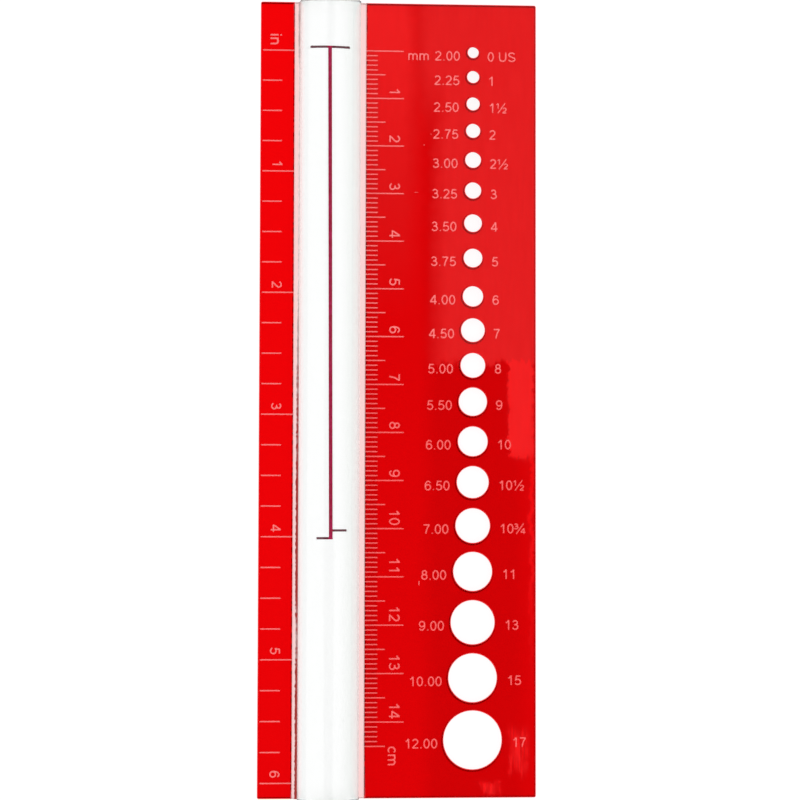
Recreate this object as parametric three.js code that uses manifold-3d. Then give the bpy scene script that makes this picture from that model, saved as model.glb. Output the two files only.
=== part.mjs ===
// A knitting needle gauge with a magnifier, as it is glued together from sheet and rod.
// Two tinted plates lie either side of a clear strip, edge to edge. A half-round rod stands on
// the strip and carries the painted gauge line in its flat underside.
// Millimetres, +Z up, +Y along the gauge towards the zero end of its scales.
// The origin lies under the middle of the gauge, on the surface it rests on.

import * as THREE from 'three';
import { mergeGeometries, mergeVertices } from 'three/addons/utils/BufferGeometryUtils.js';
import Module from 'manifold-3d';

const wasm = await Module();
wasm.setup();

// Plates, strip and rod
const gaugeLength = 165.8;
const inchPlateWidth = 7.1;
const clearStripWidth = 14.7;
const sizePlateWidth = 35.7;
const plateThickness = 2;
const outerCornerRadius = 0.4;
const rodRadius = 6.4;

// Cured cement
const edgeBondThickness = 0.15;
const rodBondThickness = 0.1;

// Engraved scales
const scaleZeroFromTop = 10.1;
const markWidth = 0.3;
const markDepth = 0.12;
const millimetreMarkLength = 2.25;
const halfCentimetreMarkLength = 3.85;
const centimetreMarkLength = 7.7;
const centimetreScaleLength = 145;
const quarterInchMarkLength = 4;
const inchMarkEdgeMargin = 0.45;
const inchScaleInches = 6;
const inch = 25.4;
const inchDivisions = 4;

// Gauge line under the rod
const gaugeLineWidth = 0.52;
const gaugeTickWidth = 0.38;
const gaugeLineDepth = 0.15;
const gaugeLineCentimetreReach = 100;
const gaugeLineInchReach = 4 * inch;
const crossbarLength = 5.65;
const centimetreTickLength = 2.45;
const inchTickLength = 2.05;

// Needle holes: the needle's diameter, the bore that takes it, and the web of plate between a hole
// and the one above
const holeColumnFromOuterEdge = 13.22;
const firstHoleFromTop = 9.9;
const leastWebAtBottom = 2;
const needleHoles = [
  { needle: 2, bore: 2.4, webAbove: 0 },
  { needle: 2.25, bore: 2.65, webAbove: 2.65 },
  { needle: 2.5, bore: 2.85, webAbove: 2.95 },
  { needle: 2.75, bore: 3.05, webAbove: 2.75 },
  { needle: 3, bore: 3.4, webAbove: 2.95 },
  { needle: 3.25, bore: 3.5, webAbove: 3 },
  { needle: 3.5, bore: 3.8, webAbove: 3.25 },
  { needle: 3.75, bore: 4, webAbove: 3.45 },
  { needle: 4, bore: 4.35, webAbove: 3.9 },
  { needle: 4.5, bore: 5.05, webAbove: 2.4 },
  { needle: 5, bore: 5.25, webAbove: 2.25 },
  { needle: 5.5, bore: 6, webAbove: 2 },
  { needle: 6, bore: 6.3, webAbove: 2.15 },
  { needle: 6.5, bore: 6.75, webAbove: 2 },
  { needle: 7, bore: 7.3, webAbove: 2.05 },
  { needle: 8, bore: 8.2, webAbove: 1.8 },
  { needle: 9, bore: 9.25, webAbove: 1.85 },
  { needle: 10, bore: 10.2, webAbove: 1.8 },
  { needle: 12, bore: 12.25, webAbove: 1.65 },
];

// Smoothness
const holeSegments = 48;
const cornerSegments = 4;
const rodSegments = 56;

// Places that follow from the sizes
const totalWidth = inchPlateWidth + clearStripWidth + sizePlateWidth + 2 * edgeBondThickness;
const topEdge = gaugeLength / 2;
const inchPlateLeft = -totalWidth / 2;
const inchPlateRight = inchPlateLeft + inchPlateWidth;
const stripLeft = inchPlateRight + edgeBondThickness;
const stripRight = stripLeft + clearStripWidth;
const sizePlateLeft = stripRight + edgeBondThickness;
const sizePlateRight = sizePlateLeft + sizePlateWidth;
const rodAxis = (stripLeft + stripRight) / 2;
const rodBase = plateThickness + rodBondThickness;
const scaleZero = topEdge - scaleZeroFromTop;
const lowestMark = -topEdge + markWidth;
const gaugeLineReach = Math.max(gaugeLineCentimetreReach, gaugeLineInchReach);
const holeColumn = sizePlateRight - holeColumnFromOuterEdge;

// Finishes
const redAcrylic = { color: 0xd90f1c, roughness: 0.08, metalness: 0, transparent: true, opacity: 0.85 };
const clearAcrylic = { color: 0xf4f7f6, roughness: 0.04, metalness: 0, transparent: true, opacity: 0.35 };
const curedCement = { color: 0xd98a86, roughness: 0.3, metalness: 0, transparent: true, opacity: 0.6 };
const crimsonPaint = { color: 0x8c1236, roughness: 0.5, metalness: 0 };

// Closed shapes to solids and back
function toSolid(geometry) {
  const bare = geometry.clone();
  bare.deleteAttribute('normal');
  bare.deleteAttribute('uv');
  const merged = mergeVertices(bare, 1e-4);
  return new wasm.Manifold(new wasm.Mesh({
    numProp: 3,
    vertProperties: new Float32Array(merged.attributes.position.array),
    triVerts: new Uint32Array(merged.index.array),
  }));
}

function toGeometry(solid) {
  const { vertProperties, triVerts } = solid.getMesh();
  const geometry = new THREE.BufferGeometry();
  geometry.setAttribute('position', new THREE.BufferAttribute(vertProperties, 3));
  geometry.setIndex(new THREE.BufferAttribute(triVerts, 1));
  geometry.computeVertexNormals();
  return geometry;
}

// A box given by its lowest and highest corners
function boxBetween([x0, y0, z0], [x1, y1, z1]) {
  const box = new THREE.BoxGeometry(x1 - x0, y1 - y0, z1 - z0);
  return box.translate((x0 + x1) / 2, (y0 + y1) / 2, (z0 + z1) / 2);
}

function pieceFrom(name, geometry, finish) {
  const mesh = new THREE.Mesh(geometry, new THREE.MeshStandardMaterial(finish));
  mesh.name = name;
  return mesh;
}

// A plate's outline, with its two outer corners rounded. outward is -1 for a left edge, 1 for a right
function plateOutline(innerEdge, outerEdge, outward) {
  const arcX = outerEdge - outward * outerCornerRadius;
  const arcY = topEdge - outerCornerRadius;
  const points = [new THREE.Vector2(innerEdge, -topEdge)];
  for (const end of [-1, 1]) {
    for (let i = 0; i <= cornerSegments; i += 1) {
      const turn = (end < 0 ? cornerSegments - i : i) / cornerSegments * Math.PI / 2;
      points.push(new THREE.Vector2(
        arcX + outward * outerCornerRadius * Math.cos(turn),
        end * (arcY + outerCornerRadius * Math.sin(turn)),
      ));
    }
  }
  points.push(new THREE.Vector2(innerEdge, topEdge));
  return new THREE.Shape(points);
}

function platePiece(outline) {
  return new THREE.ExtrudeGeometry(outline, { depth: plateThickness, bevelEnabled: false });
}

// The needle holes, as places down the column, as many as the plate is long enough for
function placedHoles() {
  let centre = topEdge - firstHoleFromTop;
  let radiusAbove = 0;
  const places = needleHoles.map(({ bore, webAbove }, i) => {
    const radius = bore / 2;
    if (i > 0) centre -= radiusAbove + webAbove + radius;
    radiusAbove = radius;
    return { centre, radius };
  });
  return places.filter(({ centre: y, radius }) => y - radius > leastWebAtBottom - topEdge);
}

function holePath({ centre, radius }) {
  const points = [];
  for (let i = 0; i < holeSegments; i += 1) {
    const turn = -i / holeSegments * 2 * Math.PI;
    points.push(new THREE.Vector2(
      holeColumn + radius * Math.cos(turn),
      centre + radius * Math.sin(turn),
    ));
  }
  return new THREE.Path(points);
}

// One engraved mark as a cutter, from x0 to x1 across the gauge. It starts above the plate
function markCutter(x0, x1, y) {
  return boxBetween(
    [x0, y - markWidth / 2, plateThickness - markDepth],
    [x1, y + markWidth / 2, plateThickness + markDepth],
  );
}

// Centimetre scale: marks run in from the size plate's inner edge and are open at that edge
function centimetreMarks() {
  const marks = [];
  for (let millimetre = 0; millimetre <= centimetreScaleLength; millimetre += 1) {
    const y = scaleZero - millimetre;
    if (y < lowestMark) break;
    let length = millimetreMarkLength;
    if (millimetre % 5 === 0) length = halfCentimetreMarkLength;
    if (millimetre % 10 === 0) length = centimetreMarkLength;
    marks.push(markCutter(sizePlateLeft - markDepth, sizePlateLeft + length, y));
  }
  return marks;
}

// Inch scale: whole inches reach the inner edge, quarters stop short
function inchMarks() {
  const marks = [];
  const start = inchPlateLeft + inchMarkEdgeMargin;
  for (let i = 0; i <= inchScaleInches * inchDivisions; i += 1) {
    const y = scaleZero - i * inch / inchDivisions;
    if (y < lowestMark) break;
    const wholeInch = i % inchDivisions === 0;
    const end = wholeInch ? inchPlateRight + markDepth : start + quarterInchMarkLength;
    marks.push(markCutter(start, end, y));
  }
  return marks;
}

function inchPlate() {
  const plate = toSolid(platePiece(plateOutline(inchPlateRight, inchPlateLeft, -1)));
  const marks = toSolid(mergeGeometries(inchMarks()));
  return pieceFrom('inch_plate', toGeometry(plate.subtract(marks)), redAcrylic);
}

function sizePlate() {
  const outline = plateOutline(sizePlateLeft, sizePlateRight, 1);
  outline.holes = placedHoles().map(holePath);
  const plate = toSolid(platePiece(outline));
  const marks = toSolid(mergeGeometries(centimetreMarks()));
  return pieceFrom('size_plate', toGeometry(plate.subtract(marks)), redAcrylic);
}

function clearStrip() {
  const strip = boxBetween([stripLeft, -topEdge, 0], [stripRight, topEdge, plateThickness]);
  return pieceFrom('clear_strip', strip, clearAcrylic);
}

function edgeBond(name, left) {
  const bead = boxBetween(
    [left, -topEdge, 0],
    [left + edgeBondThickness, topEdge, plateThickness],
  );
  return pieceFrom(name, bead, curedCement);
}

function rodBond() {
  const film = boxBetween(
    [rodAxis - rodRadius, -topEdge, plateThickness],
    [rodAxis + rodRadius, topEdge, rodBase],
  );
  return pieceFrom('rod_bond', film, curedCement);
}

// The gauge line between two heights: a bar down the middle, its crossbar at the scales' zero,
// and a tick at each reach, the centimetre one to the right and the inch one to the left
function gaugeLineBars(low, high) {
  const half = gaugeLineWidth / 2;
  const thin = gaugeTickWidth / 2;
  const centimetreTick = scaleZero - gaugeLineCentimetreReach;
  const inchTick = scaleZero - gaugeLineInchReach;
  const bars = [
    [rodAxis - half, rodAxis + half, scaleZero - gaugeLineReach - thin, scaleZero + thin],
    [rodAxis - crossbarLength / 2, rodAxis + crossbarLength / 2, scaleZero - thin, scaleZero + thin],
    [rodAxis, rodAxis + centimetreTickLength, centimetreTick - thin, centimetreTick + thin],
    [rodAxis - inchTickLength, rodAxis, inchTick - thin, inchTick + thin],
  ];
  return bars
    .map(([x0, x1, y0, y1]) => toSolid(boxBetween([x0, y0, low], [x1, y1, high])))
    .reduce((joined, bar) => joined.add(bar));
}

function gaugeLine() {
  const fill = gaugeLineBars(rodBase, rodBase + gaugeLineDepth);
  return pieceFrom('gauge_line', toGeometry(fill), crimsonPaint);
}

// Half-round rod, flat side down, with the groove that the paint fills
function magnifierRod() {
  const section = new THREE.Shape();
  for (let i = 0; i <= rodSegments; i += 1) {
    const turn = i / rodSegments * Math.PI;
    const x = rodAxis + rodRadius * Math.cos(turn);
    const z = rodBase + rodRadius * Math.sin(turn);
    if (i === 0) section.moveTo(x, z);
    else section.lineTo(x, z);
  }
  section.closePath();
  const rod = new THREE.ExtrudeGeometry(section, { depth: gaugeLength, bevelEnabled: false });
  rod.rotateX(Math.PI / 2);
  rod.translate(0, topEdge, 0);
  const groove = gaugeLineBars(rodBase - gaugeLineDepth, rodBase + gaugeLineDepth);
  return pieceFrom('magnifier_rod', toGeometry(toSolid(rod).subtract(groove)), clearAcrylic);
}

const gauge = new THREE.Group();
gauge.name = 'needle_gauge';
gauge.add(
  inchPlate(),
  edgeBond('inch_edge_bond', inchPlateRight),
  clearStrip(),
  edgeBond('size_edge_bond', stripRight),
  sizePlate(),
  rodBond(),
  magnifierRod(),
  gaugeLine(),
);

export default gauge;
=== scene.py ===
import math
import random

import bmesh
import bpy
from mathutils import Matrix, Vector
from mathutils.geometry import delaunay_2d_cdt


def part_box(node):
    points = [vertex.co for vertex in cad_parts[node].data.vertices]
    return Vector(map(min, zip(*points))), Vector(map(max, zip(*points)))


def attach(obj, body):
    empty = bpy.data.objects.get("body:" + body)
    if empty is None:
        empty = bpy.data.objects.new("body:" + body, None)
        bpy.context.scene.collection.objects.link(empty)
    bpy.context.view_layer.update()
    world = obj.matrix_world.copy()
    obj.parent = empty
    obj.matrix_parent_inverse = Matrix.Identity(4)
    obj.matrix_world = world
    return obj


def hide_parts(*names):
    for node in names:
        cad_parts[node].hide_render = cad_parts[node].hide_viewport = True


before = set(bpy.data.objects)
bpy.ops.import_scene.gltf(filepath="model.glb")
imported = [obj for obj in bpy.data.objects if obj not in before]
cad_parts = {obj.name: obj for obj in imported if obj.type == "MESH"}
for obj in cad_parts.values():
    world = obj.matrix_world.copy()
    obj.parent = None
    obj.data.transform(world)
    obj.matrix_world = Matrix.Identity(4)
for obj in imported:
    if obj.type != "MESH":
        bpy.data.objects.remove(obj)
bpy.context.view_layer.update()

# Lengths in the dictionaries are millimetres. Meshes are built in millimetres too and scaled at the end.
mm = 0.001
inch = 25.4


# What stands where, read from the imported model

def nodeBox(node):
    low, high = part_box(node)
    return low / mm, high / mm


sizePlateLow, sizePlateHigh = nodeBox("size_plate")
inchPlateLow, inchPlateHigh = nodeBox("inch_plate")
stripLow, stripHigh = nodeBox("clear_strip")
rodLow, rodHigh = nodeBox("magnifier_rod")
paintLow, paintHigh = nodeBox("gauge_line")
topEdge = sizePlateHigh.y
sheetThickness = sizePlateHigh.z
rodAxis = (rodLow.x + rodHigh.x) / 2

sheetCuts = {
    "rimInset": 0.16,            # how far a cut edge is eased, across and down
    "rimDrop": 0.1,
    "rimSlack": 0.01,            # corners this far outside a hole's rim still belong to it
    "bondedInset": 0.26,         # the same across, on the bonded edge
    "markDepth": 0.12,
    "markWidth": 0.265,
    "scaleZeroFromTop": 10.1,
    "holeColumnFromOuterEdge": 13.22,
    "firstHoleFromTop": 9.9,
    "holeSteps": 96,
    "holeFlare": 0.22,           # how much further out a hole's wall stands at the back
    "holeLean": (-0.02, -0.12),  # how far the back of a hole lies aside, as the beam leaned
    "holeFan": 0.0036,           # and as it fanned out, as a share of the way from the middle
    "holeTight": 0.065,          # how much smaller than its bore a hole is at the front, in radius
    "columnShrink": 0.0024,      # how much shorter the column was cut, as a share, and how far off
    "columnSlip": -0.073,
    "cornerRadius": 0.4,
    "cornerSteps": 8,
    "pastEdge": 0.1,             # how far a mark is cut out over the bonded edge that it meets
    "sameCorner": 1e-4,          # corners closer than this are one
}
scaleZero = topEdge - sheetCuts["scaleZeroFromTop"]

# Needle, bore that takes it, web of plate above it, and the number beside it
needleHoles = [
    (2, 2.4, 0, "0 US"),
    (2.25, 2.65, 2.65, "1"),
    (2.5, 2.85, 2.95, "1½"),
    (2.75, 3.05, 2.75, "2"),
    (3, 3.4, 2.95, "2½"),
    (3.25, 3.5, 3, "3"),
    (3.5, 3.8, 3.25, "4"),
    (3.75, 4, 3.45, "5"),
    (4, 4.35, 3.9, "6"),
    (4.5, 5.05, 2.4, "7"),
    (5, 5.25, 2.25, "8"),
    (5.5, 6, 2, "9"),
    (6, 6.3, 2.15, "10"),
    (6.5, 6.75, 2, "10½"),
    (7, 7.3, 2.05, "10¾"),
    (8, 8.2, 1.8, "11"),
    (9, 9.25, 1.85, "13"),
    (10, 10.2, 1.8, "15"),
    (12, 12.25, 1.65, "17"),
]

lettering = {
    "stroke": 0.142,             # share of the letter height
    "sizeHeight": 2.0,
    "centimetreHeight": 2.23,
    "inchHeight": 2.08,
    "unitHeight": 2.4,
    "belowFirstHole": 1.03,      # middle of the words under the middle of the hole
    "belowLastHole": 0.6,
    "metricEnd": 13.73,          # where the metric words end, less a share of the needle
    "metricEndStep": 0.452,
    "otherStart": 17.7,          # where the other words start, and a share of the needle
    "otherStartStep": 0.527,
    "otherLift": (-0.1, 0.2),    # how far the other words stand above them, at the first and the last hole
    "sideBearing": 0.08,         # bare share of the height beside a digit
    "scaleGap": 0.6,             # from the end of a numeral to its line
}

# A fraction on a height of 1: two small digits with a slash between them
fraction = {
    "wide": 0.68,                # size of a small digit beside a whole one
    "tall": 0.58,
    "upper": (-0.04, 1.02),      # left end and top of the upper digit
    "lower": (0.68, -0.04),      # left end and base of the lower one
    "stroke": 0.12,
    "slash": [(0.22, -0.06), (1.0, 1.04)],
    "slashStroke": 0.115,
    "advance": 1.19,
}


# Flat outlines

def flatArc(cx, cy, rx, ry, start, end, steps=10):
    points = []
    for i in range(steps + 1):
        turn = math.radians(start + (end - start) * i / steps)
        points.append((cx + rx * math.cos(turn), cy + ry * math.sin(turn)))
    return points


def flatRing(cx, cy, rx, ry, steps):
    return flatArc(cx, cy, rx, ry, 0, 360 - 360 / steps, steps - 1)


def flatBar(x0, x1, y0, y1):
    return [(x0, y0), (x1, y0), (x1, y1), (x0, y1)]


def strokeQuads(path, width, closed=False):
    # one pen stroke as four-sided pieces that share their corners
    count = len(path)
    sides = []
    for i, (x, y) in enumerate(path):
        before = path[i - 1] if closed or i > 0 else None
        after = path[(i + 1) % count] if closed or i < count - 1 else None
        ways = []
        if before is not None:
            ways.append(Vector((x - before[0], y - before[1])).normalized())
        if after is not None:
            ways.append(Vector((after[0] - x, after[1] - y)).normalized())
        way = sum(ways, Vector((0, 0))).normalized()
        reach = width / 2 / max(0.5, way.dot(ways[0]))
        across = Vector((-way.y, way.x)) * reach
        sides.append(((x + across.x, y + across.y), (x - across.x, y - across.y)))
    quads = []
    for i in range(count if closed else count - 1):
        (leftA, rightA), (leftB, rightB) = sides[i], sides[(i + 1) % count]
        quads.append([leftA, rightA, rightB, leftB])
    return quads


# Lettering, drawn with a pen on a height of 1. A letter is its advance and its strokes

def pen(points, closed=False, width=None):
    return (points, closed, width)


def ring(cx, cy, rx, ry, steps=20):
    return pen(flatRing(cx, cy, rx, ry, steps), closed=True)


def moved(strokes, dx, dy, scaleX, scaleY):
    return [pen([(dx + x * scaleX, dy + y * scaleY) for x, y in points], closed, width)
            for points, closed, width in strokes]


def turnedOver(strokes, cx, cy):
    return [pen([(2 * cx - x, 2 * cy - y) for x, y in points], closed, width)
            for points, closed, width in strokes]


def alphabet():
    dot = 0.14
    letters = {
        " ": (0.53, []),
        ".": (0.39, [pen([(0.195, 0), (0.195, dot)], width=dot)]),
        "0": (0.777, [ring(0.388, 0.5, 0.265, 0.445, 24)]),
        "1": (0.777, [pen([(0.46, 0), (0.46, 1)]),
                      pen([(0.165, 0.715), (0.31, 0.79), (0.44, 0.95)])]),
        "2": (0.777, [pen(flatArc(0.37, 0.7, 0.262, 0.24, 168, -32, 12)
                          + [(0.46, 0.42), (0.23, 0.21), (0.13, 0.06)]),
                      pen([(0.05, 0.06), (0.69, 0.06)])]),
        "3": (0.777, [pen([(0.26, 0.53)] + flatArc(0.36, 0.737, 0.225, 0.207, -90, 165, 12)),
                      pen(flatArc(0.375, 0.295, 0.275, 0.237, 90, -165, 14))]),
        "4": (0.777, [pen([(0.53, 0), (0.53, 1)]), pen([(0.5, 0.96), (0.065, 0.3)]),
                      pen([(0.025, 0.285), (0.73, 0.285)])]),
        "5": (0.777, [pen([(0.19, 0.935), (0.66, 0.935)]), pen([(0.235, 0.95), (0.15, 0.475)]),
                      pen(flatArc(0.375, 0.33, 0.285, 0.272, 150, -160, 14))]),
        "6": (0.777, [ring(0.4, 0.325, 0.27, 0.268),
                      pen(flatArc(0.42, 0.5, 0.29, 0.443, 37, 200, 12))]),
        "7": (0.777, [pen([(0.07, 0.935), (0.7, 0.935)]),
                      pen([(0.65, 0.92), (0.5, 0.69), (0.39, 0.43), (0.33, 0.2), (0.305, 0)])]),
        "8": (0.777, [ring(0.388, 0.735, 0.21, 0.208, 18), ring(0.388, 0.298, 0.268, 0.24)]),
        "m": (1.164, [pen([(0.153, 0), (0.153, 0.725)]),
                      pen([(0.583, 0)] + flatArc(0.37, 0.46, 0.213, 0.212, 0, 165, 8)),
                      pen([(1.012, 0)] + flatArc(0.798, 0.46, 0.213, 0.212, 0, 165, 8))]),
        "n": (0.777, [pen([(0.153, 0), (0.153, 0.725)]),
                      pen([(0.622, 0)] + flatArc(0.388, 0.44, 0.234, 0.232, 0, 160, 8))]),
        "i": (0.31, [pen([(0.155, 0), (0.155, 0.725)]), pen([(0.155, 0.86), (0.155, 1)])]),
        "c": (0.698, [pen(flatArc(0.385, 0.3625, 0.273, 0.31, 42, 318, 14))]),
        "U": (0.84, [pen([(0.01, 1)] + flatArc(0.34, 0.385, 0.33, 0.328, 180, 360, 12) + [(0.67, 1)])]),
        "S": (0.932, [pen(flatArc(0.455, 0.735, 0.305, 0.207, 12, 215, 12)
                          + flatArc(0.46, 0.27, 0.335, 0.212, 35, -168, 12))]),
    }
    letters["9"] = (0.777, turnedOver(letters["6"][1], 0.388, 0.5))
    slash = pen(fraction["slash"], width=fraction["slashStroke"])
    wide, tall = fraction["wide"], fraction["tall"]
    upperX, upperTop = fraction["upper"]
    lowerX, lowerBase = fraction["lower"]
    for name, above, below in (("½", "1", "2"), ("¾", "3", "4")):
        digits = moved(letters[above][1], upperX, upperTop - tall, wide, tall)
        digits += moved(letters[below][1], lowerX, lowerBase, wide, tall)
        strokes = [pen(points, closed, fraction["stroke"]) for points, closed, _ in digits]
        letters[name] = (fraction["advance"], strokes + [slash])
    return letters


letters = alphabet()


def wordWidth(word, height):
    return sum(letters[c][0] for c in word) * height


def wordQuads(word, height, place, along=(1, 0)):
    # place is where the pen starts on the base line, along is the way the word is read
    alongX, alongY = along
    quads = []
    start = 0
    for letter in word:
        advance, strokes = letters[letter]
        for points, closed, width in strokes:
            for quad in strokeQuads(points, width or lettering["stroke"], closed):
                placed = []
                for x, y in quad:
                    across, up = (start + x) * height, y * height
                    placed.append((place[0] + alongX * across - alongY * up,
                                   place[1] + alongY * across + alongX * up))
                quads.append(placed)
        start += advance
    return quads


# A flat plan: the outline with its eased rims, the holes and the pockets, as triangles

def counterClockwise(points):
    area = sum(x0 * y1 - x1 * y0 for (x0, y0), (x1, y1) in zip(points, points[1:] + points[:1]))
    return points if area > 0 else points[::-1]


def layPlan(outlineRings, holeRings, pockets):
    # a ring is (points, drop): how far below the surface the rim lies there. The first is the cut itself
    corners, faces, drops = [], [], []
    kinds = []

    def add(points, kind, drop=0.0):
        first = len(corners)
        corners.extend(Vector(p) for p in counterClockwise(points))
        drops.extend([drop] * len(points))
        faces.append(list(range(first, len(corners))))
        kinds.append(kind)

    for i, (points, drop) in enumerate(outlineRings):
        add(points, "outline" if i == 0 else "ring", drop)
    for rings in holeRings:
        for i, (points, drop) in enumerate(rings):
            add(points, "hole" if i == 0 else "ring", drop)
    for points in pockets:
        add(points, "pocket")
    insideOnly, nearness = 1, sheetCuts["sameCorner"]
    laid = delaunay_2d_cdt(corners, [], faces, insideOnly, nearness)
    flat, _, triangles, fromCorner, _, fromFace = laid
    plan = {"points": [(p.x, p.y) for p in flat], "plain": [], "pocket": [], "flares": {}}
    plan["drops"] = [max((drops[i] for i in came), default=0.0) for came in fromCorner]
    for triangle, came in zip(triangles, fromFace):
        inside = {kinds[i] for i in came}
        if "outline" in inside and "hole" not in inside:
            plan["pocket" if "pocket" in inside else "plain"].append(tuple(triangle))
    return plan


def planEdges(triangles):
    # edges with one triangle beside them, in that triangle's direction
    ways = set()
    for a, b, c in triangles:
        ways.update([(a, b), (b, c), (c, a)])
    return [way for way in ways if (way[1], way[0]) not in ways]


def flareHoles(plan, holes):
    # the back of a hole's rim stands further out than its front
    flare, fan = sheetCuts["holeFlare"], sheetCuts["holeFan"]
    leanX, leanY = sheetCuts["holeLean"]
    for i, (x, y) in enumerate(plan["points"]):
        for centreX, centreY, radius in holes:
            away = math.hypot(x - centreX, y - centreY)
            if away < radius + sheetCuts["rimInset"] + sheetCuts["rimSlack"]:
                further = 1 + flare / away
                plan["flares"][i] = (centreX * (1 + fan) + leanX + (x - centreX) * further,
                                     centreY * (1 + fan) + leanY + (y - centreY) * further)


def sheetFromPlan(plan, bottom, top, pocketFloor):
    # a closed sheet between two heights. Pocket faces are marked 1 in "engraved", rim faces in "cutEdge"
    mesh = bmesh.new()
    engraved = mesh.faces.layers.float.new("engraved")
    cutEdge = mesh.faces.layers.float.new("cutEdge")
    made = {}

    def corner(level, i):
        if (level, i) not in made:
            x, y = plan["points"][i]
            if level == "bottom" and i in plan["flares"]:
                x, y = plan["flares"][i]
            drop = plan["drops"][i]
            z = {"bottom": bottom + drop, "top": top - drop, "floor": pocketFloor}[level]
            made[level, i] = mesh.verts.new((x, y, z))
        return made[level, i]

    def face(corners, isEngraved=0.0, isCut=0.0):
        new = mesh.faces.new(corners)
        new[engraved] = isEngraved
        new[cutEdge] = isCut
        new.smooth = isCut > 0

    drops = plan["drops"]
    for a, b, c in plan["plain"]:
        rim = 1.0 if max(drops[a], drops[b], drops[c]) > 0 else 0.0
        face([corner("top", a), corner("top", b), corner("top", c)], 0.0, rim)
        face([corner("bottom", c), corner("bottom", b), corner("bottom", a)], 0.0, rim)
    for a, b, c in plan["pocket"]:
        face([corner("floor", a), corner("floor", b), corner("floor", c)], 1.0)
        face([corner("bottom", c), corner("bottom", b), corner("bottom", a)])
    plainRim = set(planEdges(plan["plain"]))
    pocketRim = set(planEdges(plan["pocket"]))
    for a, b in sorted(plainRim):
        if (b, a) in pocketRim:    # the step down into a pocket
            face([corner("top", b), corner("top", a), corner("floor", a), corner("floor", b)], 1.0)
            continue
        wall = [corner("bottom", a), corner("bottom", b)]
        if ("floor", b) in made:
            wall.append(corner("floor", b))
        wall += [corner("top", b), corner("top", a)]
        if ("floor", a) in made:
            wall.append(corner("floor", a))
        face(wall, 0.0, 1.0)
    for a, b in sorted(pocketRim):
        if (b, a) not in plainRim:
            face([corner("bottom", a), corner("bottom", b), corner("floor", b), corner("floor", a)], 0.0, 1.0)
    return mesh


def asObject(name, mesh, material, smoothAngle=None):
    # with no angle, each face keeps the shading it was made with
    mesh.normal_update()
    data = bpy.data.meshes.new(name)
    bmesh.ops.scale(mesh, vec=(mm, mm, mm), verts=mesh.verts)
    mesh.to_mesh(data)
    mesh.free()
    data.materials.append(material)
    if smoothAngle:
        data.shade_smooth()
        data.set_sharp_from_angle(angle=math.radians(smoothAngle))
    piece = bpy.data.objects.new(name, data)
    bpy.context.scene.collection.objects.link(piece)
    return piece


def rimSteps():
    # inset and drop of the rings that ease a cut edge
    half = 1 - math.sqrt(0.5)
    shares = ((0, 1), (half, half), (1, 0))
    return [(share * sheetCuts["rimInset"], fall * sheetCuts["rimDrop"]) for share, fall in shares]


def plateRing(innerEdge, outerEdge, inset):
    # the two outer corners are round
    outward = 1 if outerEdge > innerEdge else -1
    innerEdge += outward * inset / sheetCuts["rimInset"] * sheetCuts["bondedInset"]
    radius = sheetCuts["cornerRadius"] - inset
    arcX = outerEdge - outward * sheetCuts["cornerRadius"]
    arcY = topEdge - sheetCuts["cornerRadius"]
    steps = sheetCuts["cornerSteps"]
    points = [(innerEdge, -topEdge + inset)]
    for end in (-1, 1):
        for i in range(steps + 1):
            turn = (steps - i if end < 0 else i) / steps * math.pi / 2
            points.append((arcX + outward * radius * math.cos(turn), end * (arcY + radius * math.sin(turn))))
    points.append((innerEdge, topEdge - inset))
    return points


def placedHoles():
    column = sizePlateHigh.x - sheetCuts["holeColumnFromOuterEdge"]
    centre = topEdge - sheetCuts["firstHoleFromTop"]
    radiusAbove = 0
    places = []
    for i, (_, bore, webAbove, _) in enumerate(needleHoles):
        radius = bore / 2
        if i > 0:
            centre -= radiusAbove + webAbove + radius
        radiusAbove = radius
        places.append((column, centre, radius))
    return places


def cutHoles():
    # the holes as they were cut, a little tight and not quite in place
    stretch = 1 - sheetCuts["columnShrink"]
    return [(x, y * stretch + sheetCuts["columnSlip"], radius - sheetCuts["holeTight"])
            for x, y, radius in placedHoles()]


def scaleMark(x0, x1, y):
    half = sheetCuts["markWidth"] / 2
    return flatBar(x0, x1, y - half, y + half)


centimetreScale = {
    "length": 145,
    "millimetre": 2.45,
    "half": 4.05,
    "whole": 7.9,
    "numeralBase": 4.85,
    "unitBase": 4.87,
    "unitRise": 0.06,         # where the unit starts, above the last mark
    "aslant": 0.0018,         # how much longer the marks get with each millimetre down the scale
}
inchScale = {
    "inches": 6,
    "divisions": 4,
    "quarter": 4.05,
    "edgeMargin": 0.47,
    "numeralBase": 2.55,
    "unitBase": 2.0,
    "unitRise": 3.6,          # where the unit starts, above the zero mark
    "numeralGap": 0.62,       # from a numeral to its line, and how much more with each inch
    "numeralGapStep": 0.08,
    "aslant": 0.001,
    "slip": 0.1,              # how far this scale lies below the other
}


def centimetreMarks():
    marks = []
    edge = sizePlateLow.x
    for millimetre in range(centimetreScale["length"] + 1):
        length = centimetreScale["millimetre"]
        if millimetre % 5 == 0:
            length = centimetreScale["half"]
        if millimetre % 10 == 0:
            length = centimetreScale["whole"]
        end = edge + length + centimetreScale["aslant"] * millimetre
        marks.append(scaleMark(edge - sheetCuts["pastEdge"], end, scaleZero - millimetre))
    height = lettering["centimetreHeight"]
    for centimetre in range(1, centimetreScale["length"] // 10 + 1):
        word = str(centimetre)
        base = edge + centimetreScale["numeralBase"] + centimetreScale["aslant"] * centimetre * 10
        start = scaleZero - centimetre * 10 + lettering["scaleGap"] + wordWidth(word, height)
        marks += wordQuads(word, height, (base, start), along=(0, -1))
    unitStart = scaleZero - centimetreScale["length"] + centimetreScale["unitRise"]
    marks += wordQuads("cm", height, (edge + centimetreScale["unitBase"], unitStart), along=(0, -1))
    return marks


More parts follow.
